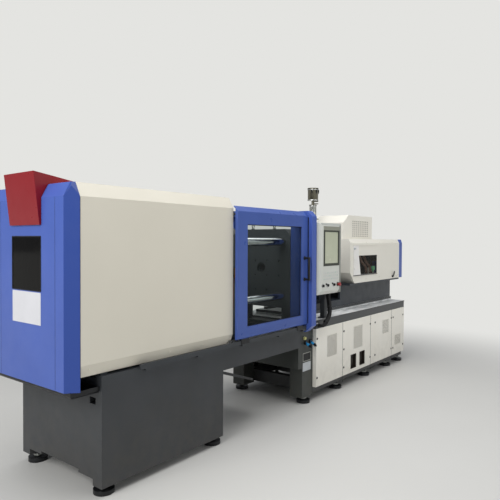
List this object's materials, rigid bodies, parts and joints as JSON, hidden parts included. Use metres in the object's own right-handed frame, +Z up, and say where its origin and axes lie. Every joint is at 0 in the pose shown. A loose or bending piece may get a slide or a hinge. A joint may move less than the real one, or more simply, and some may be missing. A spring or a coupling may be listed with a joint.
{
  "type": "injection moulding machine",
  "caption": "Horizontal electric injection moulding machine: enclosed toggle clamp, sliding guard doors, swivelling control panel and a carriage-mounted screw injection unit on a covered bed.",
  "frame": {"origin": "middle of the overall footprint, on the floor under the levelling feet", "axes": "+X from the clamp end to the injection end, +Y away from the operator, +Z up; the operator stands on the -Y side"},
  "size_m": [5.04, 1.157, 2.146],
  "materials": {
    "blue_enamel": "semi-gloss powder coat",
    "deep_blue_enamel": "semi-gloss powder coat",
    "white_enamel": "semi-gloss powder coat",
    "red_enamel": "semi-gloss powder coat",
    "dark_enamel": "satin machine enamel",
    "machine_grey": "satin machine enamel",
    "cast_iron": "painted casting with machined faces",
    "machined_steel": "ground",
    "galvanised_steel": "rolled",
    "dark_glass": "tinted polycarbonate",
    "panel_plastic": "fine texture",
    "screen_glass": "glossy",
    "black_plastic": "satin",
    "red_plastic": "glossy",
    "coupling_plastic": "glossy",
    "cable_rubber": "matt"
  },
  "bodies": {
    "frame": {"clamp_bed": "dark_enamel", "injection_bed": "dark_enamel", "bed_plate": "machined_steel", "levelling_feet": "black_plastic", "drip_tray": "black_plastic", "platen_base": "machine_grey", "couplings": "coupling_plastic", "base_cover_a": "white_enamel", "base_cover_b": "white_enamel", "base_cover_c": "white_enamel", "base_cover_d": "white_enamel", "base_rear_covers": "white_enamel", "power_sockets": "black_plastic", "end_cover": "blue_enamel", "end_window": "dark_glass", "end_hood": "red_enamel", "side_covers": "white_enamel", "roof_cover": "white_enamel", "guard_frame": "dark_enamel", "corner_posts": "blue_enamel", "platen_covers": "white_enamel", "fixed_platen": "cast_iron", "tie_bars": "machined_steel", "panel_stand": "dark_enamel", "panel_harness": "cable_rubber"},
    "tail_unit": {"tail_platen": "cast_iron", "tie_nuts": "machined_steel", "clamp_motor": "dark_enamel"},
    "clamp_screw": {"clamp_screw": "machined_steel"},
    "crosshead": {"crosshead": "cast_iron"},
    "cross_link_upper": {"cross_link_upper": "machined_steel"},
    "cross_link_lower": {"cross_link_lower": "machined_steel"},
    "rear_link_upper": {"rear_link_upper": "cast_iron"},
    "rear_link_lower": {"rear_link_lower": "cast_iron"},
    "front_link_upper": {"front_link_upper": "cast_iron"},
    "front_link_lower": {"front_link_lower": "cast_iron"},
    "moving_platen": {"moving_platen": "cast_iron"},
    "ejector": {"ejector": "machined_steel"},
    "front_door": {"front_door": "deep_blue_enamel", "front_glass": "dark_glass"},
    "rear_door": {"rear_door": "deep_blue_enamel", "rear_glass": "dark_glass"},
    "control_panel": {"panel_housing": "panel_plastic", "panel_screen": "screen_glass"},
    "stop_button": {"stop_button": "red_plastic"},
    "selector_a": {"selector_a": "black_plastic"},
    "selector_b": {"selector_b": "black_plastic"},
    "selector_c": {"selector_c": "black_plastic"},
    "purge_guard": {"purge_guard": "white_enamel"},
    "injection_unit": {"carriage": "dark_enamel", "barrel": "machined_steel", "heater_bands": "galvanised_steel", "feed_hopper": "galvanised_steel", "injection_cover": "white_enamel", "rear_cap": "blue_enamel", "injection_glass": "dark_glass"},
    "service_panel": {"service_panel": "white_enamel"},
    "latch": {"latch": "black_plastic"},
    "screw_drive": {"screw_drive": "cast_iron"},
    "plasticising_screw": {"plasticising_screw": "machined_steel"}
  },
  "joints": [
    {"name": "mould_height", "type": "slide", "parent": "frame", "child": "tail_unit", "axis": [-1, 0, 0], "range_m": [0, 0.12]},
    {"name": "clamp_stroke", "type": "slide", "parent": "tail_unit", "child": "moving_platen", "axis": [1, 0, 0], "range_m": [0, 0.38]},
    {"name": "crosshead_slide", "type": "slide", "parent": "tail_unit", "child": "crosshead", "axis": [1, 0, 0], "range_m": [0, 0.29369]},
    {"name": "clamp_screw_turn", "type": "hinge", "parent": "tail_unit", "child": "clamp_screw", "pos_m": [-1.52, 0.0105, 1.29], "axis": [1, 0, 0], "range_deg": [0, 2639.69]},
    {"name": "rear_link_upper_turn", "type": "hinge", "parent": "tail_unit", "child": "rear_link_upper", "pos_m": [-1.23, 0.0105, 1.6], "axis": [0, -1, 0], "range_deg": [0, 74.43]},
    {"name": "rear_link_lower_turn", "type": "hinge", "parent": "tail_unit", "child": "rear_link_lower", "pos_m": [-1.23, 0.0105, 0.98], "axis": [0, 1, 0], "range_deg": [0, 74.43]},
    {"name": "front_link_upper_turn", "type": "hinge", "parent": "moving_platen", "child": "front_link_upper", "pos_m": [-1.09, 0.0105, 1.6], "axis": [0, 1, 0], "range_deg": [0, 74.43]},
    {"name": "front_link_lower_turn", "type": "hinge", "parent": "moving_platen", "child": "front_link_lower", "pos_m": [-1.09, 0.0105, 0.98], "axis": [0, -1, 0], "range_deg": [0, 74.43]},
    {"name": "cross_link_upper_turn", "type": "hinge", "parent": "crosshead", "child": "cross_link_upper", "pos_m": [-1.38319, 0.0105, 1.4], "axis": [0, -1, 0], "range_deg": [0, 71.18]},
    {"name": "cross_link_lower_turn", "type": "hinge", "parent": "crosshead", "child": "cross_link_lower", "pos_m": [-1.38319, 0.0105, 1.18], "axis": [0, 1, 0], "range_deg": [0, 71.18]},
    {"name": "ejector_stroke", "type": "slide", "parent": "moving_platen", "child": "ejector", "axis": [1, 0, 0], "range_m": [0, 0.08]},
    {"name": "front_door_slide", "type": "slide", "parent": "frame", "child": "front_door", "axis": [-1, 0, 0], "range_m": [0, 0.96]},
    {"name": "rear_door_slide", "type": "slide", "parent": "frame", "child": "rear_door", "axis": [-1, 0, 0], "range_m": [0, 0.96]},
    {"name": "panel_swivel", "type": "hinge", "parent": "frame", "child": "control_panel", "pos_m": [0.4125, -0.4605, 1.29], "axis": [0, 0, 1], "range_deg": [0, 30]},
    {"name": "stop_push", "type": "slide", "parent": "control_panel", "child": "stop_button", "axis": [0, 1, 0], "range_m": [0, 0.008]},
    {"name": "selector_a_turn", "type": "hinge", "parent": "control_panel", "child": "selector_a", "pos_m": [0.166, -0.5445, 1.126], "axis": [0, -1, 0], "range_deg": [0, 70]},
    {"name": "selector_b_turn", "type": "hinge", "parent": "control_panel", "child": "selector_b", "pos_m": [0.256, -0.5445, 1.126], "axis": [0, -1, 0], "range_deg": [0, 70]},
    {"name": "selector_c_turn", "type": "hinge", "parent": "control_panel", "child": "selector_c", "pos_m": [0.378, -0.5445, 1.126], "axis": [0, -1, 0], "range_deg": [0, 70]},
    {"name": "purge_guard_turn", "type": "hinge", "parent": "frame", "child": "purge_guard", "pos_m": [0.325, 0.2075, 1.484], "axis": [-1, 0, 0], "range_deg": [0, 100]},
    {"name": "carriage_slide", "type": "slide", "parent": "frame", "child": "injection_unit", "axis": [1, 0, 0], "range_m": [0, 0.26]},
    {"name": "service_panel_slide", "type": "slide", "parent": "injection_unit", "child": "service_panel", "axis": [1, 0, 0], "range_m": [0, 0.4]},
    {"name": "latch_turn", "type": "hinge", "parent": "injection_unit", "child": "latch", "pos_m": [2.145, -0.4045, 1.112], "axis": [0, 1, 0], "range_deg": [0, 60]},
    {"name": "screw_stroke", "type": "slide", "parent": "injection_unit", "child": "screw_drive", "axis": [1, 0, 0], "range_m": [0, 0.12]},
    {"name": "screw_turn", "type": "hinge", "parent": "screw_drive", "child": "plasticising_screw", "pos_m": [1.43, 0.0105, 1.29], "axis": [1, 0, 0], "continuous": true}
  ],
  "couplings": [
    {"joint": "crosshead_slide", "follows": "clamp_stroke", "ratio": 0.77155},
    {"joint": "clamp_screw_turn", "follows": "clamp_stroke", "rad_per_m": 121.19},
    {"joint": "rear_link_upper_turn", "follows": "clamp_stroke", "rad_per_m": 3.4163},
    {"joint": "rear_link_lower_turn", "follows": "clamp_stroke", "rad_per_m": 3.4163},
    {"joint": "front_link_upper_turn", "follows": "clamp_stroke", "rad_per_m": 3.4163},
    {"joint": "front_link_lower_turn", "follows": "clamp_stroke", "rad_per_m": 3.4163},
    {"joint": "cross_link_upper_turn", "follows": "clamp_stroke", "rad_per_m": 3.2672},
    {"joint": "cross_link_lower_turn", "follows": "clamp_stroke", "rad_per_m": 3.2672}
  ]
}
